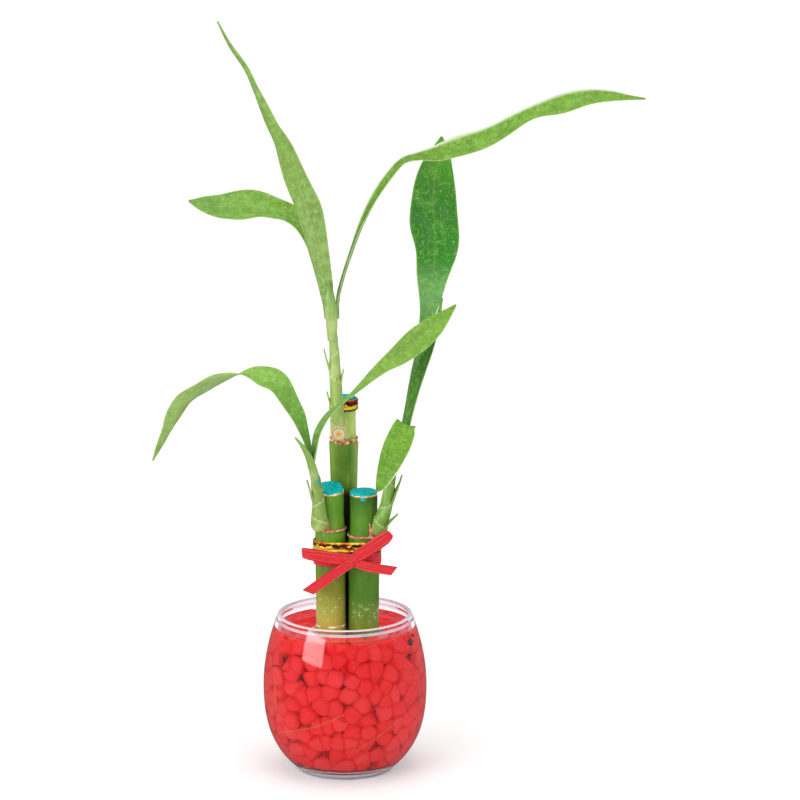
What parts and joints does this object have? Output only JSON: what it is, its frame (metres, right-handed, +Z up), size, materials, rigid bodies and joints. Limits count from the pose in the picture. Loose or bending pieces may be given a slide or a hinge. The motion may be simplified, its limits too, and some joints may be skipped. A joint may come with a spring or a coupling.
{
  "type": "lucky bamboo",
  "caption": "Lucky bamboo canes with leafy shoots, tied with gold foil and a red bow, standing in a round clear glass bowl of red pebbles and water.",
  "frame": {"origin": "centre of the bowl's flat base, on the surface it stands on", "axes": "+Z up along the bowl's axis, -Y towards the side that the bow and the shorter canes face, +X to the right when seen from that side"},
  "size_m": [0.215, 0.0734, 0.3366],
  "materials": {
    "clear_glass": "clear polished",
    "red_pebble": "dyed, wet, satin",
    "water": "clear liquid",
    "cane_left": "smooth waxy green bark",
    "cane_right": "smooth waxy green bark",
    "cane_back": "smooth waxy green bark",
    "leaf_scar": "dry, torn, matt",
    "wax": "rough sealing wax",
    "shoot": "soft satin sheaths",
    "leaf_light": "satin leaf",
    "leaf_dark": "satin leaf",
    "gold_foil": "crinkled reflective foil",
    "red_ribbon": "woven satin"
  },
  "bodies": {
    "root": {"cane_back": "cane_back", "cane_left": "cane_left", "cane_right": "cane_right", "glass_bowl": "clear_glass", "gold_coil": "gold_foil", "gold_tie": "gold_foil", "leaf_back_low": "leaf_light", "leaf_back_right": "leaf_light", "leaf_back_tall": "leaf_light", "leaf_left_arching": "leaf_light", "leaf_left_rising": "leaf_light", "leaf_right_folded": "leaf_light", "leaf_right_narrow": "leaf_dark", "leaf_right_tall": "leaf_dark", "leaf_scar_back": "leaf_scar", "leaf_scar_left": "leaf_scar", "leaf_scar_right": "leaf_scar", "pebble_bed": "red_pebble", "ribbon_bow": "red_ribbon", "shoot_back": "shoot", "shoot_left": "shoot", "shoot_right": "shoot", "water": "water", "wax_back": "wax", "wax_left": "wax", "wax_right": "wax"}
  },
  "joints": []
}
